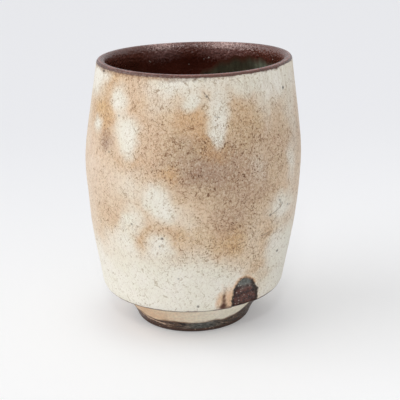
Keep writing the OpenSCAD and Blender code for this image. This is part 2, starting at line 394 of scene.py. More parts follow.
# Each kind of cloud: how soft its edge is, and its marks.
clouds = {
    "blush": (0.6, [(-62, 58, 34, 30, 0.9), (-20, 60, 40, 28, 0.95), (25, 57, 34, 29, 0.95),
                    (66, 56, 30, 27, 0.9), (-68, 40, 22, 13, 0.9), (20, 36, 22, 8, 0.8),
                    (150, 55, 60, 27, 0.8), (-140, 60, 40, 22, 0.7)]),
    "tan": (0.8, [(-62, 77, 14, 6, 0.9), (-52, 85, 14, 5, 0.8), (-27, 76, 12, 13, 0.6),
                  (-5, 72, 22, 10, 0.95), (28, 74, 15, 12, 0.95), (24, 80.5, 7, 2.6, 0.85),
                  (-38, 63, 18, 4, 0.6), (5, 60, 28, 12, 0.95), (32, 53, 20, 16, 0.8),
                  (-50, 44, 18, 10, 0.5), (-25, 41, 14, 4.5, 0.7), (-2, 37, 20, 6, 0.65),
                  (22, 38, 14, 9, 0.85), (58, 70, 20, 11, 0.55), (66, 57, 14, 12, 0.55),
                  (-36, 87.4, 22, 4, 0.5), (-50, 40.6, 11, 5.4, 0.6), (60, 78, 12, 5, 0.4),
                  (54, 50, 10, 3, 0.4), (-2, 86, 30, 4, 0.3), (16, 84.6, 9, 3, 0.4), (24, 83, 6, 2, 0.3),
                  (6, 80, 3, 4, 0.5), (-56, 74, 9, 4, 0.45), (-10, 74, 7, 4, 0.5), (-30, 80, 8, 4, 0.4),
                  (-22, 32, 14, 2.6, 0.4), (-9, 32, 6, 3, 0.45), (14, 27, 12, 3, 0.4), (41, 29, 8, 9, 0.7),
                  (50, 37.4, 12, 3, 0.7), (-56, 67.5, 9, 5, 0.6), (-30, 51, 6, 6, 0.25),
                  (60, 22, 14, 1.4, 0.5), (10, 30.5, 8, 2, 0.4), (120, 70, 20, 12, 0.7),
                  (165, 50, 24, 14, 0.7), (-120, 48, 22, 12, 0.6), (-150, 72, 24, 12, 0.6),
                  (-88, 66, 16, 10, 0.4)]),
    "brown": (0.9, [(6, 61, 14, 6.5, 0.9), (10, 62, 7, 3.4, 0.35), (20, 50, 9, 4, 0.25),
                    (36, 52, 13, 9, 0.35), (-10, 73, 6, 3, 0.25), (-56, 74, 7, 3, 0.2), (-8, 66, 16, 5, 0.4),
                    (-3, 69.5, 7, 5, 0.35), (6, 63.5, 9, 5, 0.25), (24, 56, 15, 10, 0.4),
                    (30, 68, 14, 11, 0.45), (20, 44, 9, 6, 0.5), (-51.5, 68, 4.4, 3.4, 1),
                    (-51, 67.6, 2, 1.6, 0.6), (64, 67, 14, 9, 0.5), (140, 62, 20, 9, 0.5),
                    (-135, 58, 16, 8, 0.4), (-27, 62, 10, 3, 0.25), (20, 37, 7, 4, 0.4),
                    (2, 58.5, 5, 2, 0.5)]),
    "rose": (0.9, [(-27, 77, 10, 12, 0.8), (-24, 64, 12, 6, 0.6), (-60, 56, 20, 14, 0.6),
                   (34, 60, 10, 6, 0.5), (-36, 85, 10, 4, 0.5), (24, 48, 12, 5, 0.4), (-64, 66, 8, 4, 0.5),
                   (62, 54, 6, 10, 0.5), (170, 44, 20, 10, 0.5)]),
    "ochre": (0.8, [(-60, 78, 13, 3.4, 0.9), (-50, 85.4, 9, 3.0, 1), (-54, 73.5, 9, 3.8, 0.85),
                    (-22, 83.4, 7, 3, 0.45), (-38, 50, 5, 5, 0.45), (-30, 80, 7, 4, 0.4),
                    (-20, 86.5, 6, 2, 0.35), (30, 70, 8, 5, 0.3), (-5, 76.5, 6.5, 4.2, 0.7),
                    (3, 77, 3.4, 4.4, 0.95), (5, 70, 5, 3, 0.7), (12, 66, 6, 2.2, 0.85),
                    (-12, 59.5, 5, 2.6, 0.8), (20, 37, 8, 5, 0.7), (-29.5, 36.5, 3, 3.8, 0.75),
                    (-7, 38.5, 7, 3, 0.4), (38, 26.5, 8, 2, 0.6), (50, 22.2, 6, 1.3, 0.7),
                    (-34, 62.5, 9, 1.6, 0.6), (33, 24.6, 5, 0.8, 0.9), (26, 78, 8, 4, 0.3),
                    (-12, 42, 14, 2, 0.3), (44, 33, 4, 4, 0.4), (150, 74, 8, 5, 0.6),
                    (-160, 42, 9, 4, 0.6)]),
    "white": (0.75, [(-44, 81.4, 5.6, 4.2, 1), (-36.4, 72.4, 6.8, 4, 1), (-36.2, 67.6, 5.2, 4, 1),
                     (-61.5, 72, 3.8, 2.6, 0.95), (-64, 88, 9, 2.4, 0.7), (-72, 86, 14, 6, 0.9),
                     (-18, 81, 11, 4, 0.45), (-22, 85.5, 8, 2.5, 0.5), (-13, 87.6, 8, 2.8, 0.9),
                     (-2, 87.4, 10, 2.6, 0.7), (-0.7, 82.2, 4.8, 3.0, 1), (12.5, 84.5, 4.6, 3, 0.65),
                     (12.6, 79.6, 5.2, 4, 0.85), (12.3, 75.2, 4.8, 4, 0.95), (13, 71, 3.2, 3.6, 0.95),
                     (20, 88.4, 22, 1.8, 0.6), (30, 85.5, 14, 2.4, 0.7), (41, 86, 14, 5, 0.75),
                     (60, 84.5, 16, 6, 0.75), (41, 77.5, 5.4, 6, 0.5), (62, 76, 8, 5, 0.45),
                     (59.5, 59, 4.4, 4.8, 0.75), (64, 52, 5, 6, 0.4), (52, 45, 8.5, 4.4, 0.95),
                     (66, 43.5, 8, 2.6, 0.5), (62, 31, 14, 6, 1), (51, 31, 6, 5.4, 0.9),
                     (-18.4, 52.4, 5.4, 3.8, 1), (-15, 48.6, 6, 3.4, 1), (-28, 46, 5, 2.4, 0.35),
                     (-5, 45, 8, 3.2, 0.35), (-33, 54, 10, 6, 0.5), (-33.5, 43.8, 6, 3.6, 0.95),
                     (-38, 37, 5.6, 5, 0.85), (-47, 35, 8, 5, 0.5), (-17.5, 36.2, 6, 3.8, 0.95),
                     (-35, 20, 36, 11, 1), (-5, 19.5, 26, 10.6, 1), (-80, 16, 24, 12, 0.9),
                     (14, 21.5, 12, 6.6, 0.95), (72, 20, 28, 9, 0.9), (120, 20, 40, 12, 1),
                     (-150, 20, 60, 13, 1), (110, 55, 8, 9, 0.8), (178, 66, 7, 8, 0.9),
                     (-110, 66, 6, 5, 0.8), (-128, 38, 8, 5, 0.8), (140, 40, 7, 4, 0.8), (35, 61, 6, 6, 0.4),
                     (35, 37, 6, 8, 0.35), (4, 31, 6, 4, 0.4), (67, 68, 6, 8, 0.45)]),
    "flecked": (1.0, [(-15, 22, 34, 8, 0.9), (15, 20, 20, 7, 1), (-38, 36, 6, 8, 0.5),
                      (-14, 86, 12, 3.4, 0.7), (60, 30, 20, 20, 0.6), (150, 30, 90, 14, 0.8)]),
    "runs": (0.8, [(38, 85, 24, 5, 0.7), (49, 40, 9, 18, 0.4), (58, 79, 16, 9, 0.7), (33, 76, 10, 8, 0.4),
                   (150, 84, 40, 5, 0.8), (-120, 84, 30, 5, 0.6)]),
}


def note(piece, name, values):
    """Writes a value at each point of the piece, which its material reads by name."""
    piece.data.attributes.new(name, "FLOAT", "POINT").data.foreach_set("value", values)


for name, (soft, marks) in clouds.items():
    note(white_coat, name, marked(torn_turn, torn_level, marks, soft))
lip_ragged = uneven(points, 1.3) + 0.8 * warp_level
lip_wander = np.where((turn > 25) & (turn < 70), 0.75, 0.45)
stain_low, fade_low, halo_low = 88.8, 87.1, 87.6
lip_stain = np.clip((points[:, 2] - stain_low + lip_wander * lip_ragged) / 0.45, 0, 1)
# Round the bottom corner, most at the right near 64 degrees, the brown also stands in for shade under the
# body: painted shade.
corner_level = 12.5 + 0.9 * np.sin(np.radians(turn)) ** 2 + 0.5 * np.exp(-(((turn - 64) / 18) ** 2))
edge_stain_and_shade = np.clip((corner_level - level + 0.25 * warp_level) / 0.4, 0, 1)
from_mark = over_fingertip(turn, level)
drip = marked(turn, level, [(18.4, 17, 1.0, 3.6, 0.75), (18.6, 14.6, 1.6, 2, 0.6), (18.2, 13.3, 2.6, 1.1, 1),
                            (24, 12.9, 3.4, 0.6, 0.8)], 0.9)
lip_fade = 0.45 * np.clip((points[:, 2] - fade_low + 0.5 * lip_ragged) / 1.4, 0, 1)
lip_fade *= np.clip((60 - turn) / 70, 0.35, 1)
note(white_coat, "stain_and_shade", np.max([lip_stain, lip_fade, edge_stain_and_shade, drip], axis=0))
sunk_edge = np.clip(0.85 - (from_mark + 0.35 * warp_level) / 0.8, 0, 1)
note(white_coat, "sunk_edge", sunk_edge * np.clip((28 - level) / 8, 0.7, 1))
halo = np.clip(1.2 - np.abs(from_mark) / 1.2, 0, 1) * np.where(level > 20, 0.8, 0.3)
halo += marked(torn_turn, level, [(21.8, 15.6, 2.8, 4.4, 1), (17.6, 16, 2.4, 4.4, 0.8)], 0.7)
halo += np.clip(points[:, 2] - halo_low + 0.6 * lip_ragged, 0, 1) * np.clip((5 - turn) / 50, 0, 0.5)
note(white_coat, "halo", halo)
hair = np.clip(1.2 - beside(torn_turn * 0.3 + turn * 0.7, level, hair_cracks) / 0.2, 0, 1) * 0.5
note(white_coat, "pits", np.maximum(marked(turn, level, pin_holes, 0.6), hair))


def over(tree, colour, tone, name, grain, amount, low, high, most=1.0):
    """Lays a tone over the colour where the mask of that name, torn by a grain, goes from low to high."""
    mask = add(tree, "Attribute", {"attribute_name": name}, {}, "Fac")
    torn = add(tree, "Math", {"operation": "MULTIPLY_ADD"}, {0: grain, 1: amount, 2: mask})
    share = add(tree, "MapRange", {}, {"Value": torn, "From Min": low, "From Max": high, "To Max": most})
    return add(tree, "Mix", {"data_type": "RGBA"}, {0: share, 6: colour, 7: paint(tone)}, 2)


def patches(tree, place, size, detail, low, high, most=1.0, rough=0.5, flat=1.0):
    """Patches of a size in mm, flat times as wide as they are high, fading in from low to high."""
    flattened = add(tree, "Mapping", {}, {"Vector": place, "Scale": (1, 1, flat)})
    cloud = add(tree, "TexNoise", {}, {"Vector": flattened, "Scale": 1000 / size, "Detail": detail,
                                       "Roughness": rough})
    return add(tree, "MapRange", {}, {"Value": cloud, "From Min": low, "From Max": high, "To Max": most})


# Crackled white glaze: satin, opaque and milky. Old tea has browned its cracks: a torn net of hair lines
# just under 1 mm apart, bolder cracks 1.5 and 2.7 mm apart, and dots between them.
white_glaze, tree, place = fired("crackled_white_glaze")
ragged = add(tree, "TexNoise", {}, {"Vector": place, "Scale": 1000 / 3.2, "Detail": 6.0, "Roughness": 0.7})
fine = add(tree, "TexNoise", {}, {"Vector": place, "Scale": 1000 / 0.9, "Detail": 3.0, "Roughness": 0.6})
drift = patches(tree, place, 9, 4.0, 0.38, 0.62)
colour = add(tree, "Mix", {"data_type": "RGBA"}, {0: drift, 6: paint("#ece6da"), 7: paint("#eae0c9")}, 2)
shares = {}
for name, one, other, most, ragging, graining, edge in (
        ("blush", "#e6d4bd", "#e2ccb3", 0.9, 0.6, 0.3, 0.5),
        ("tan", "#d9be99", "#d6b794", 0.9, 0.6, 0.4, 0.5),
        ("brown", "#b59c82", "#ac917d", 0.95, 0.5, 0.4, 0.5),
        ("rose", "#ddb89d", "#dabfa6", 0.5, 0.6, 0.4, 0.6),
        ("ochre", "#d4a76b", "#cea271", 0.65, 0.6, 0.5, 0.5),
        ("white", "#eee9dc", "#eae6d6", 0.95, 0.5, 0.3, 0.5),
        ("halo", "#dfb285", "#d29a68", 0.8, 0.5, 0.6, 0.45)):
    mask = add(tree, "Attribute", {"attribute_name": name}, {}, "Fac")
    torn = add(tree, "Math", {"operation": "MULTIPLY_ADD"}, {0: ragged, 1: ragging, 2: mask})
    torn = add(tree, "Math", {"operation": "MULTIPLY_ADD"}, {0: fine, 1: graining, 2: torn})
    middle = 0.5 + (ragging + graining) / 2
    share = add(tree, "MapRange", {"interpolation_type": "SMOOTHSTEP"},
                {"Value": torn, "From Min": middle - edge, "From Max": middle + edge, "To Max": most})
    tone = add(tree, "Mix", {"data_type": "RGBA"}, {0: drift, 6: paint(one), 7: paint(other)}, 2)
    colour = add(tree, "Mix", {"data_type": "RGBA"}, {0: share, 6: colour, 7: tone}, 2)
    shares[name] = share

# How busy its flecks and cracks are: more where it is toned, less where it is white.
shares["flecked"] = add(tree, "Attribute", {"attribute_name": "flecked"}, {}, "Fac")
busy = 0.3
for name, weight in (("tan", 0.5), ("brown", 0.4), ("white", -0.3), ("flecked", 0.22)):
    busy = add(tree, "Math", {"operation": "MULTIPLY_ADD", "use_clamp": name == "white"},
               {0: shares[name], 1: weight, 2: busy})

# Milky flecks, a faint mottle, and brown streaks where it ran.
milky = patches(tree, place, 0.65, 2.0, 0.48, 0.72, 0.34)
milky = add(tree, "Math", {"operation": "MULTIPLY"}, {0: milky, 1: busy})
colour = add(tree, "Mix", {"data_type": "RGBA"}, {0: milky, 6: colour, 7: paint("#efe0c8")}, 2)
tint = add(tree, "TexNoise", {}, {"Vector": place, "Scale": 1000 / 1.5, "Detail": 2.0}, "Color")
colour = add(tree, "Mix", {"data_type": "RGBA", "blend_type": "SOFT_LIGHT"},
             {0: 0.05, 6: colour, 7: tint}, 2)
streaks = patches(tree, place, 1.3, 2.0, 0.42, 0.7, 0.38, flat=0.12)
run = add(tree, "Attribute", {"attribute_name": "runs"}, {}, "Fac")
run = add(tree, "Math", {"operation": "MULTIPLY"}, {0: streaks, 1: run})
colour = add(tree, "Mix", {"data_type": "RGBA"}, {0: run, 6: colour, 7: paint("#a68d6c")}, 2)

# The net of hair lines, the bolder cracks, and the dots.
wander = add(tree, "TexNoise", {}, {"Vector": place, "Scale": 1000 / 1.3, "Detail": 2.0}, "Color")
bent = add(tree, "VectorMath", {"operation": "MULTIPLY_ADD"},
           {0: wander, 1: (0.0014, 0.0014, 0.0014), 2: place})
upright = add(tree, "Mapping", {}, {"Vector": bent, "Scale": (1, 1, 0.65)})
net = add(tree, "TexNoise", {}, {"Vector": upright, "Scale": 1000 / 0.95, "Detail": 3.0, "Roughness": 0.6})
net = add(tree, "Math", {"operation": "SUBTRACT"}, {0: net, 1: 0.5})
net = add(tree, "Math", {"operation": "ABSOLUTE"}, {0: net})
mesh_line = add(tree, "MapRange", {}, {"Value": net, "From Min": 0.05, "From Max": 0.006})
dense = add(tree, "MapRange", {}, {"Value": ragged, "From Min": 0.3, "From Max": 0.65,
                                   "To Min": 0.35, "To Max": 0.85})
mesh_line = add(tree, "Math", {"operation": "MULTIPLY"}, {0: mesh_line, 1: dense})
mesh_line = add(tree, "Math", {"operation": "MULTIPLY"}, {0: mesh_line, 1: busy})
colour = add(tree, "Mix", {"data_type": "RGBA"}, {0: mesh_line, 6: colour, 7: paint("#87592f")}, 2)
crack = 0.0
for spacing, width, low, high, depth in ((2.7, 0.12, 0.51, 0.59, 0.65), (1.5, 0.1, 0.53, 0.61, 0.5)):
    edge = add(tree, "TexVoronoi", {"feature": "DISTANCE_TO_EDGE"},
               {"Vector": upright, "Scale": 1000 / spacing})
    wide = width / spacing
    line = add(tree, "MapRange", {}, {"Value": edge, "From Min": wide, "From Max": 0.35 * wide,
                                      "To Max": depth})
    kept = patches(tree, place, spacing / 2, 3.0, low, high)
    line = add(tree, "Math", {"operation": "MULTIPLY"}, {0: line, 1: kept})
    crack = add(tree, "Math", {"operation": "MAXIMUM"}, {0: crack, 1: line})
clusters = add(tree, "TexNoise", {}, {"Vector": place, "Scale": 1000 / 4, "Detail": 4.0})
clusters = add(tree, "Math", {"operation": "MULTIPLY_ADD"}, {0: busy, 1: 0.12, 2: clusters})
for spacing, small, large in ((0.85, -0.36, -0.24), (1.9, -0.45, -0.37)):
    dots = add(tree, "TexVoronoi", {}, {"Vector": bent, "Scale": 1000 / spacing})
    grown = add(tree, "Math", {"operation": "MULTIPLY_ADD"}, {0: clusters, 1: -0.8, 2: dots})
    dot = add(tree, "MapRange", {}, {"Value": grown, "From Min": large, "From Max": small, "To Max": 0.75})
    crack = add(tree, "Math", {"operation": "MAXIMUM"}, {0: crack, 1: dot})
shown = add(tree, "Math", {"operation": "MULTIPLY_ADD", "use_clamp": True}, {0: busy, 1: 0.5, 2: 0.5})
crack = add(tree, "Math", {"operation": "MULTIPLY"}, {0: crack, 1: shown})
held = add(tree, "Mix", {"data_type": "RGBA"},
           {0: shares["tan"], 6: paint("#5f4a38"), 7: paint("#4c2502")}, 2)
colour = add(tree, "Mix", {"data_type": "RGBA"}, {0: crack, 6: colour, 7: held}, 2)
colour = add(tree, "Mix", {"data_type": "RGBA", "blend_type": "MULTIPLY"},
             {0: crack, 6: colour, 7: paint("#ffeed2")}, 2)

# Brown stains at its edges, partly painted shade round the bottom corner, the dark rim of the finger's
# place, and the pin holes.
colour = over(tree, colour, "#502c1a", "stain_and_shade", fine, 0.8, 0.6, 1.3)
colour = over(tree, colour, "#33241b", "sunk_edge", fine, 1.0, 0.8, 1.4)
pitted = add(tree, "Attribute", {"attribute_name": "pits"}, {}, "Fac")
colour = add(tree, "Mix", {"data_type": "RGBA"}, {0: pitted, 6: colour, 7: paint("#1d130e")}, 2)
hollow = add(tree, "Math", {"operation": "ADD"}, {0: crack, 1: pitted})
relief = add(tree, "Math", {"operation": "MULTIPLY_ADD"}, {0: hollow, 1: -0.8, 2: fine})
lay(white_coat, white_glaze, colour, relief, 0.35, 0.0001, {"Roughness": 0.5, "Specular IOR Level": 0.35})
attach(white_coat, "root")
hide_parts("white_glaze")


# The finger mark: where a finger held the cup in the white bath, only a thin dark glaze covers the clay.
# It lies sunk between rounded edges of white, blue-grey at its top and dark red-brown below.
def sheet(name, columns, rows):
    """A grid of two sides, and its points' places, from -1 to 1 across and along."""
    bpy.ops.object.select_all(action="DESELECT")
    bpy.ops.mesh.primitive_grid_add(x_subdivisions=columns, y_subdivisions=rows, size=2, location=(0, 0, 0))
    piece = named(name)
    body = piece.modifiers.new("body", "SOLIDIFY")
    body.thickness = 0.2
    body.offset = -1
    bpy.ops.object.modifier_apply(modifier="body")
    return piece, places(piece) / 1000


def lay_on_wall(piece, line, rise, level, turn, depth):
    """Lays the sheet's points on the wall whose section is the line: level of each, degrees round, and
    depth under the skin; rise is the level of each of the line's points."""
    one_deep = sunk(line, 1.0)
    out, up = [(1 - depth) * np.interp(level, rise, [p[axis] for p in line])
               + depth * np.interp(level, rise, [p[axis] for p in one_deep]) for axis in (0, 1)]
    around = np.radians(turn)
    put(piece, as_thrown(np.stack([out * np.sin(around), -out * np.cos(around), up], axis=1)))
    faced()


finger_glaze, square = sheet("finger_glaze", 44, 52)
across = square[:, 0] * np.sqrt(1 - square[:, 1] ** 2 / 2)
along = square[:, 1] * np.sqrt(1 - square[:, 0] ** 2 / 2)
reach = np.hypot(across, along)
bearing = np.arctan2(across, along)
middle_turn, farthest = 33.5, 14.0
inset, mark_low = 0.22, 10.9


def at_reach(reach):
    """Degrees round and level of the places at a distance, in mm, from the mark's middle."""
    mark_turn = middle_turn + np.degrees(reach * np.sin(bearing) / low_wall_radius)
    return mark_turn, finger_middle + reach * np.cos(bearing)


# The mark's outline is found in each direction by halving.
near = np.zeros(len(reach))
far = np.full(len(reach), farthest)
for step in range(24):
    half = (near + far) / 2
    mark_turn, mark_level = at_reach(half)
    outline = np.maximum(over_fingertip(mark_turn, mark_level) + inset, mark_low - mark_level)
    near = np.where(outline < 0, half, near)
    far = np.where(outline < 0, far, half)
mark_turn, mark_level = at_reach(near * reach)
from_edge = near * (1 - reach)
thick = 0.03 + 0.27 * np.clip(from_edge / 1.3, 0, 1) ** 0.6
thick += 0.03 * uneven(np.stack([mark_turn / 1.8, mark_level, 0 * mark_level], axis=1), 1.1)
bottom_depth = 0.54
mark_depth = np.where(square[:, 2] > -0.1, bottom_depth - thick, bottom_depth + gap)
white_rise = wall_height(np.array([p.x for p in white_skin]), np.array([p.y for p in white_skin]))
lay_on_wall(finger_glaze, white_skin, white_rise, mark_level, mark_turn, mark_depth)
rim_of_mark = np.clip(1.1 - from_edge / 1.5, 0, 1) * np.clip((mark_level - 14) / 3, 0, 1) * (mark_turn > 31)
note(finger_glaze, "top_of_mark", np.maximum(rim_of_mark, np.clip((mark_level - 18.2) / 2.6, 0, 1)))
wavering = from_edge - 0.2 + 0.2 * np.sin(mark_turn * 0.9 + mark_level)
edge_of_mark = np.clip(1 - wavering / 0.9, 0, 1) * np.clip((24 - mark_level) / 5, 0.4, 1)
note(finger_glaze, "edge_of_mark", edge_of_mark)

# Dark glaze over iron clay: glassy, red-brown where thin and blue-grey where ash gathered at the top.
mark_glaze, tree, place = fired("dark_mark_glaze")
cloud = patches(tree, place, 1.5, 4.0, 0.36, 0.64, rough=0.6)
colour = add(tree, "Mix", {"data_type": "RGBA"}, {0: cloud, 6: paint("#25120e"), 7: paint("#71473d")}, 2)
for name, tone, low, high in (("top_of_mark", "#76807a", 0.6, 1.6), ("edge_of_mark", "#231813", 0.45, 1.3)):
    colour = over(tree, colour, tone, name, cloud, 0.6, low, high, 0.9)
# Pale specks strewn here and there over it: painted glints.
few = patches(tree, place, 3, 1.0, 0.42, 0.56)
colour = strewn(tree, colour, "#cdc3b6", place, 0.9, 0.1, 0.3, 0.85, few)
lay(finger_glaze, mark_glaze, colour, cloud, 1.0, 0.0004, {"Roughness": 0.25, "Specular IOR Level": 0.3})
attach(finger_glaze, "root")
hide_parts("finger_mark")


# The lip: brown glaze run thin over the rounded lip, so the clay warms it to a dull mauve brown.
# It ends outside in a darker line, over the top of the white, and pale specks painted on its far side stand
# in for sparkling highlights.
lip_skin = evenly([p for p in over_lip[:17] if p.y >= white_top - 0.15] + over_lip[17:], 0.28)
lip_under = evenly(sunk(lip_skin, brown_thick), 0.8)
lip_coat = turned("lip_coat", lip_skin + lip_under[::-1] + lip_skin[:1], 360)
points = places(lip_coat)
turn, radius = round_the_cup(points)
worn = uneven(points, 6)
put(lip_coat, as_thrown(points))
note(lip_coat, "low_outside", np.clip((89.93 - points[:, 2] + 0.2 * worn) / 0.2, 0, 1) * (radius > 30.6))
note(lip_coat, "low_inside", np.clip((30.9 - radius + 0.2 * worn) / 0.7, 0, 1))
# Pale specks painted at the far side, on the lip and on the wall under it: painted sparkling highlights.
painted_sparkle_spots = [(-158, 89.2, 12, 4.2, 1), (158, 89.2, 15, 4.6, 1), (180, 90, 44, 3, 0.15),
               (132, 90, 16, 3, 0.35)]
note(lip_coat, "painted_sparkles", marked(turn, points[:, 2], painted_sparkle_spots, 0.9) * (radius < 30.9))

# Thin brown glaze: glossy, dimpled about 0.9 mm across, the clay's grit showing through about 0.5 mm wide.
lip_glaze, tree, place = fired("thin_brown_glaze")
cloud = add(tree, "TexNoise", {}, {"Vector": place, "Scale": 1000 / 2.5, "Detail": 5.0})
grit = add(tree, "TexNoise", {}, {"Vector": place, "Scale": 1000 / 0.5, "Detail": 2.0})
pebble = add(tree, "TexNoise", {}, {"Vector": place, "Scale": 1000 / 0.9, "Detail": 1.0})
colour = add(tree, "Mix", {"data_type": "RGBA"}, {0: cloud, 6: paint("#805049"), 7: paint("#a4756b")}, 2)
for name, tone in (("low_outside", "#5e3a2d"), ("low_inside", "#6b443b")):
    colour = over(tree, colour, tone, name, cloud, 0.6, 0.4, 1.1)
colour = over(tree, colour, "#c9a9a1", "painted_sparkles", grit, 1.8, 1.35, 2.1, 0.85)
grain = add(tree, "MapRange", {}, {"Value": grit, "From Min": 0.35, "From Max": 0.65,
                                   "To Min": 0.75, "To Max": 1.2})
colour = add(tree, "Mix", {"data_type": "RGBA", "blend_type": "MULTIPLY"}, {0: 1.0, 6: colour, 7: grain}, 2)
lay(lip_coat, lip_glaze, colour, pebble, 1.0, 0.0004, {"Roughness": 0.2, "IOR": 1.6})
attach(lip_coat, "root")
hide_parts("lip_glaze")


# The inside: a thick, glossy dark brown iron glaze, poured in and tipped out, down the wall and over
# the floor. The throwing rings show through, and its skin is pebbled like orange peel.
inner_skin = evenly(inside, 0.75)
inner_under = evenly(sunk(inner_skin[:-1], brown_thick), 1.8) + [Vector((0.0, cup_floor - brown_thick))]
inner_coat = turned("inner_coat", inner_skin + inner_under[::-1] + inner_skin[:1], 300)
points = places(inner_coat)
put(inner_coat, as_thrown(points))
note(inner_coat, "near_lip", np.clip((points[:, 2] - 82) / 7, 0, 1))
note(inner_coat, "painted_sparkles", marked(round_the_cup(points)[0], points[:, 2], painted_sparkle_spots, 0.9))

# Iron glaze: deep brown, glassy, pebbled about 0.9 mm across and most of all near the lip, where it is
# lighter, partly as painted sheen, with pale pin specks about 0.3 mm wide, partly painted glints, and, at
# the far side under the lip, pale specks painted as sparkling highlights.
inner_glaze, tree, place = fired("dark_brown_glaze")
cloud = add(tree, "TexNoise", {}, {"Vector": place, "Scale": 1000 / 7, "Detail": 6.0})
pebble = add(tree, "TexNoise", {}, {"Vector": place, "Scale": 1000 / 0.9, "Detail": 2.0})
grit = add(tree, "TexNoise", {}, {"Vector": place, "Scale": 1000 / 0.7, "Detail": 3.0, "Roughness": 0.7})
colour = add(tree, "Mix", {"data_type": "RGBA"}, {0: cloud, 6: paint("#36150e"), 7: paint("#56281c")}, 2)
# Lighter brown near the lip: partly the glaze running thinner there, partly painted sheen.
colour = over(tree, colour, "#784639", "near_lip", cloud, 0.5, 0.55, 1.25)
# The pale specks at the far side under the lip are painted sparkling highlights.
for tone, low, high in (("#9c7570", 1.0, 1.9), ("#d3b9b2", 1.7, 2.05)):
    colour = over(tree, colour, tone, "painted_sparkles", grit, 1.6, low, high, 0.9)
# Pale pin specks strewn over it: partly pale grains, partly painted glints.
few = patches(tree, place, 5, 1.0, 0.5, 0.6)
colour = strewn(tree, colour, "#cfc2b6", place, 2.4, 0.07, 0.15, 1.0, few)
thin = add(tree, "Attribute", {"attribute_name": "near_lip"}, {}, "Fac")
raised = add(tree, "Math", {"operation": "MULTIPLY_ADD"}, {0: thin, 1: 0.7, 2: 0.3})
pebble = add(tree, "Math", {"operation": "MULTIPLY"}, {0: pebble, 1: raised})
lay(inner_coat, inner_glaze, colour, pebble, 1.0, 0.0009, {"Roughness": 0.2, "IOR": 1.55})
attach(inner_coat, "root")
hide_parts("inner_glaze")


# The ash run: wood ash that settled on the far wall and melted, running down in rivulets with round ends.
# It lies over the brown as a thin, glassy, grey-green skin, thickest where each rivulet stops.
ash_run, square = sheet("ash_run", 96, 84)
run_middle, run_half, run_radius = 136, 20, 31
run_top, run_low = 85.5, 60.5
sideways = square[:, 0]
across = run_half * sideways + 2.5
top = run_top - 8 * np.clip(sideways, 0, 1) ** 2 - 3 * np.clip(-sideways, 0, 1) ** 3
top += 0.5 * np.sin(across)
low = run_low + 3.0 * sideways ** 2
for at, length in ((-11.3, 11), (0, 19), (11.3, 7)):
    low -= length * np.exp(-(((across - at) / 3.1) ** 4))
run_level = top + (low - top) * (1 - square[:, 1]) / 2
run_turn = run_middle + np.degrees(across / run_radius)
from_side = run_half * (1 - np.abs(sideways))
from_edge = np.minimum(from_side, np.minimum(top - run_level, run_level - low))
bead = np.exp(-(((run_level - low - 1.6) / 1.5) ** 2)) * (low < 58)
thick = 0.012 + (0.13 + 0.25 * bead) * np.clip(from_edge / 4, 0, 1)
run_depth = np.where(square[:, 2] > -0.1, -thick, 0.12)
lay_on_wall(ash_run, inner_skin, [-p.y for p in inner_skin], -run_level, run_turn, run_depth)
note(ash_run, "thin_ash", np.clip(1.2 - from_edge / 2.2, 0, 1))
note(ash_run, "pooled", np.clip((142 - run_turn) / 24, 0, 1))

# Ash glaze: glassy, streaked down the wall, olive brown at its left and grey-green where it pooled at its
# right, letting the brown through where it is thin.
ash_glaze, tree, place = fired("grey_green_ash_glaze")
streaks = patches(tree, place, 2, 4.0, 0.2, 0.8, flat=0.22)
pebble = add(tree, "TexNoise", {}, {"Vector": place, "Scale": 1000 / 1.5, "Detail": 3.0})
colour = add(tree, "Mix", {"data_type": "RGBA"}, {0: streaks, 6: paint("#28261d"), 7: paint("#55513f")}, 2)
pooled = add(tree, "Attribute", {"attribute_name": "pooled"}, {}, "Fac")
rich = add(tree, "Mix", {"data_type": "RGBA"}, {0: streaks, 6: paint("#525a49"), 7: paint("#979e88")}, 2)
colour = add(tree, "Mix", {"data_type": "RGBA"}, {0: pooled, 6: colour, 7: rich}, 2)
colour = over(tree, colour, "#4f2c21", "thin_ash", streaks, -0.4, -0.2, 0.9)
lay(ash_run, ash_glaze, colour, pebble, 0.8, 0.0003, {"Roughness": 0.22})
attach(ash_run, "root")
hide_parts("ash_glaze")


# The two bands on the foot: the cup's foot was held out of the white bath down to a wavering line, so
# the upper part is white, thin and pinkish, and below it a dark, glassy flash from the kiln. The line
# is drawn by degrees from the front and heights.
# At the right, from about 46 to 106 degrees, the line rises to the body, so the dark band covers the foot
# there: partly the flash, partly painted shade under the body.
dip_line = [(-180, 4.5), (-150, 4.9), (-120, 4.4), (-90, 6.4), (-66, 6.2), (-57, 5.3), (-48, 4.4),
            (-36, 4.1), (-26, 4.5), (-17, 4.7), (-7, 4.4), (11, 4.4), (19.5, 4.9), (29, 4.4), (38, 5.2),
            (43, 5.7), (46, 7.0), (48.5, 9.6), (51, 10.8), (92, 10.8), (106, 6.5), (120, 4.6), (150, 4.8),
            (180, 4.5)]
even_dip = 4.7


def foot_radius(height):
    """Radius of the foot's side at a height."""
    return np.interp(height, [p.y for p in foot_side], [p.x for p in foot_side])


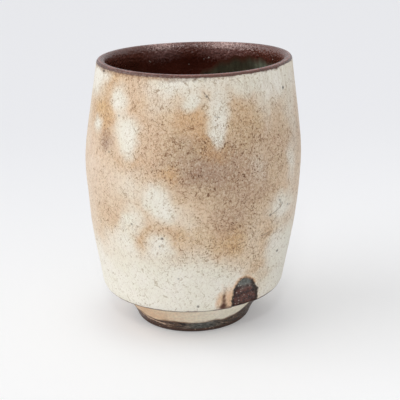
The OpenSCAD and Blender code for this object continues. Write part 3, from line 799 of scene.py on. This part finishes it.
def foot_band(name, low, high, roll):
    """A coat on the foot between two heights, one of them the even dip line, which is then made to waver.

    At the dip line it swells to a roll. Also gives each point's turn and height, and the line's height."""
    line = evenly([p for p in foot_side if low < p.y < high], 0.35)
    line = [Vector((foot_radius(low), low))] + line + [Vector((foot_radius(high), high))]
    band = turned(name, line + [p - band_thick for p in reversed(line)] + line[:1], 300)
    points = places(band)
    turn, radius = round_the_cup(points)
    around = np.radians(turn)
    depth = foot_radius(points[:, 2]) - radius
    wave = np.interp(turn, [p[0] for p in dip_line], [p[1] for p in dip_line])
    wave += 0.12 * uneven(9 * np.stack([np.sin(around), np.cos(around), 0 * around], axis=1), 1)
    held = high if low == even_dip else low
    height = held + (points[:, 2] - held) * (wave - held) / (even_dip - held)
    bulge = roll * np.exp(-(((height - wave) / 0.45) ** 2)) * (depth < 0.2)
    radius = foot_radius(height) - depth + bulge
    put(band, as_turned(np.stack([radius * np.sin(around), -radius * np.cos(around), height], axis=1)))
    return band, turn, height, wave


cream_band, turn, height, wave = foot_band("cream_band", even_dip, foot_joint[1], 0.12)
note(cream_band, "pink", np.clip((22 - turn) / 60, 0, 1) * np.clip((turn + 165) / 60, 0, 1))
note(cream_band, "thin", np.clip(1 - (height - wave) / 1.1, 0, 1))

# Thin white glaze on the foot: satin, cream, flushed orange-brown on its left where the flame reached it.
cream_glaze, tree, place = fired("foot_cream_glaze")
cloud = patches(tree, place, 3, 6.0, 0.3, 0.7, flat=2.5)
grit = add(tree, "TexNoise", {}, {"Vector": place, "Scale": 1000 / 0.8, "Detail": 3.0})
colour = add(tree, "Mix", {"data_type": "RGBA"}, {0: cloud, 6: paint("#f0e6cd"), 7: paint("#f8f0de")}, 2)
for name, tone, low, high in (("pink", "#dcb58c", 0.3, 1.4), ("thin", "#7c5230", 0.65, 1.35)):
    colour = over(tree, colour, tone, name, cloud, 0.5, low, high)
dust = add(tree, "MapRange", {}, {"Value": grit, "From Min": 0.3, "From Max": 0.7,
                                  "To Min": 0.85, "To Max": 1.08})
colour = add(tree, "Mix", {"data_type": "RGBA", "blend_type": "MULTIPLY"}, {0: 1.0, 6: colour, 7: dust}, 2)
lay(cream_band, cream_glaze, colour, grit, 0.4, 0.00012, {"Roughness": 0.42})
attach(cream_band, "root")
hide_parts("foot_white_glaze")

dark_band, turn, height, wave = foot_band("dark_band", foot_low[1], even_dip, 0.0)
for name, at, wide in (("blue_front", 8, 22), ("brown_left", -60, 48)):
    note(dark_band, name, np.exp(-(((turn - at) / wide) ** 2)))
# A light line along the left of the band, where a turning ridge catches the light: a painted highlight.
ridge_height = np.interp(turn, [-90, -58, -54, -45, -37, -30, -20], [5.2, 5.1, 4.3, 3.6, 3.1, 2.9, 2.8])
ridge_highlight = np.clip((-turn - 18) / 16, 0, 1) * np.clip((turn + 110) / 30, 0, 1)
note(dark_band, "ridge_highlight", ridge_highlight * np.exp(-(((height - ridge_height) / 0.28) ** 2)))

# Kiln flash on bare iron clay: glassy in patches, olive brown, blue-grey in front and red-brown left.
foot_flash, tree, place = fired("foot_dark_glaze")
cloud = patches(tree, place, 1.9, 6.0, 0.36, 0.64, rough=0.65, flat=2.6)
colour = add(tree, "Mix", {"data_type": "RGBA"}, {0: cloud, 6: paint("#1a100c"), 7: paint("#7a6250")}, 2)
for name, tone, low, high in (("blue_front", "#6d746f", 0.7, 1.6), ("brown_left", "#5a3626", 0.6, 1.5),
                              ("ridge_highlight", "#d6b79b", 0.45, 1.0)):
    colour = over(tree, colour, tone, name, cloud, 0.6, low, high)
# Pale specks strewn where the band is lighter: painted glints.
few = add(tree, "MapRange", {}, {"Value": cloud, "From Min": 0.4, "From Max": 0.8})
colour = strewn(tree, colour, "#b3a18b", place, 1.3, 0.1, 0.22, 0.8, few)
lay(dark_band, foot_flash, colour, cloud, 0.8, 0.0003, {"Roughness": 0.25, "Specular IOR Level": 0.35})
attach(dark_band, "root")
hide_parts("foot_dark_glaze")


# The studio: a sheet of matt white paper as the floor, broad window light from the left, a small softbox
# above in front, and pale light from all round. The camera stands where the photograph was taken, 330 mm
# in front, and to it the paper is a little brighter than its light makes it.
bpy.ops.object.select_all(action="DESELECT")
bpy.ops.mesh.primitive_plane_add(size=8, location=(0, 0, 0))
floor = bpy.context.object
floor.name = "paper_floor"
paper, tree, place = fired("matt_white_paper")
# The paper is painted darker and cooler towards the back: painted shade.
depth = add(tree, "SeparateXYZ", {}, {0: place}, "Y")
back = add(tree, "MapRange", {"interpolation_type": "SMOOTHSTEP"},
           {"Value": depth, "From Min": -0.03, "From Max": 0.3})
tone = add(tree, "Mix", {"data_type": "RGBA"}, {0: back, 6: paint("#f9fafb"), 7: paint("#eff0f3")}, 2)
shader = tree.nodes["Principled BSDF"]
tree.links.new(tone, shader.inputs["Base Color"])
shader.inputs["Roughness"].default_value = 0.9
shader.inputs["Specular IOR Level"].default_value = 0.1
seen = add(tree, "LightPath", {}, {})
lifted = add(tree, "Math", {"operation": "MULTIPLY"}, {0: seen, 1: 0.16})
# The glow is tinted warm, which shows most in shadows: painted light bounced from the cup.
painted_bounce_warmth = add(tree, "Mix", {"data_type": "RGBA", "blend_type": "MULTIPLY"},
           {0: 1.0, 6: tone, 7: paint("#fffcf7")}, 2)
glow = add(tree, "Emission", {}, {"Color": painted_bounce_warmth, "Strength": 1.4})
both = add(tree, "MixShader", {}, {0: lifted, 1: shader.outputs[0], 2: glow})
tree.links.new(both, tree.nodes["Material Output"].inputs["Surface"])
floor.data.materials.append(paper)

bpy.ops.object.light_add(type="SUN")
window = bpy.context.object
window.data.energy = 1.15
window.data.angle = math.radians(60)
window.rotation_euler = Vector((0.85, 0.12, -0.51)).to_track_quat("-Z", "Y").to_euler()
bpy.ops.object.light_add(type="AREA", location=(-0.02, -0.63, 0.6))
softbox = bpy.context.object
softbox.data.shape = "RECTANGLE"
softbox.data.size = 0.12
softbox.data.size_y = 0.06
softbox.data.energy = 0.8
softbox.rotation_euler = (Vector((0, 0, 0.09)) - softbox.location).to_track_quat("-Z", "Y").to_euler()

world = bpy.data.worlds.new("studio")
bpy.context.scene.world = world
world.use_nodes = True
tree = world.node_tree
pale = tree.nodes["Background"]
seen = add(tree, "LightPath", {}, {})
tone = add(tree, "Mix", {"data_type": "RGBA"}, {0: seen, 6: paint("#fbfcff"), 7: paint("#eff0f3")}, 2)
strength = add(tree, "MapRange", {}, {"Value": seen, "To Min": 0.67, "To Max": 1.0})
tree.links.new(tone, pale.inputs["Color"])
tree.links.new(strength, pale.inputs["Strength"])

looking_down, rolled = 18.064, -1.3
focal_pixels, frame_pixels = 1020, 400
bpy.ops.object.camera_add(location=(0.0019, -0.330, 0.148))
camera = bpy.context.object
camera.matrix_world = (Matrix.Translation(camera.location)
                       @ Matrix.Rotation(math.radians(90 - looking_down), 4, "X")
                       @ Matrix.Rotation(math.radians(rolled), 4, "Z"))
camera.data.sensor_width = 36
camera.data.lens = camera.data.sensor_width * focal_pixels / frame_pixels
camera.data.clip_start = 0.01
bpy.context.scene.camera = camera
bpy.context.scene.view_settings.view_transform = "Standard"
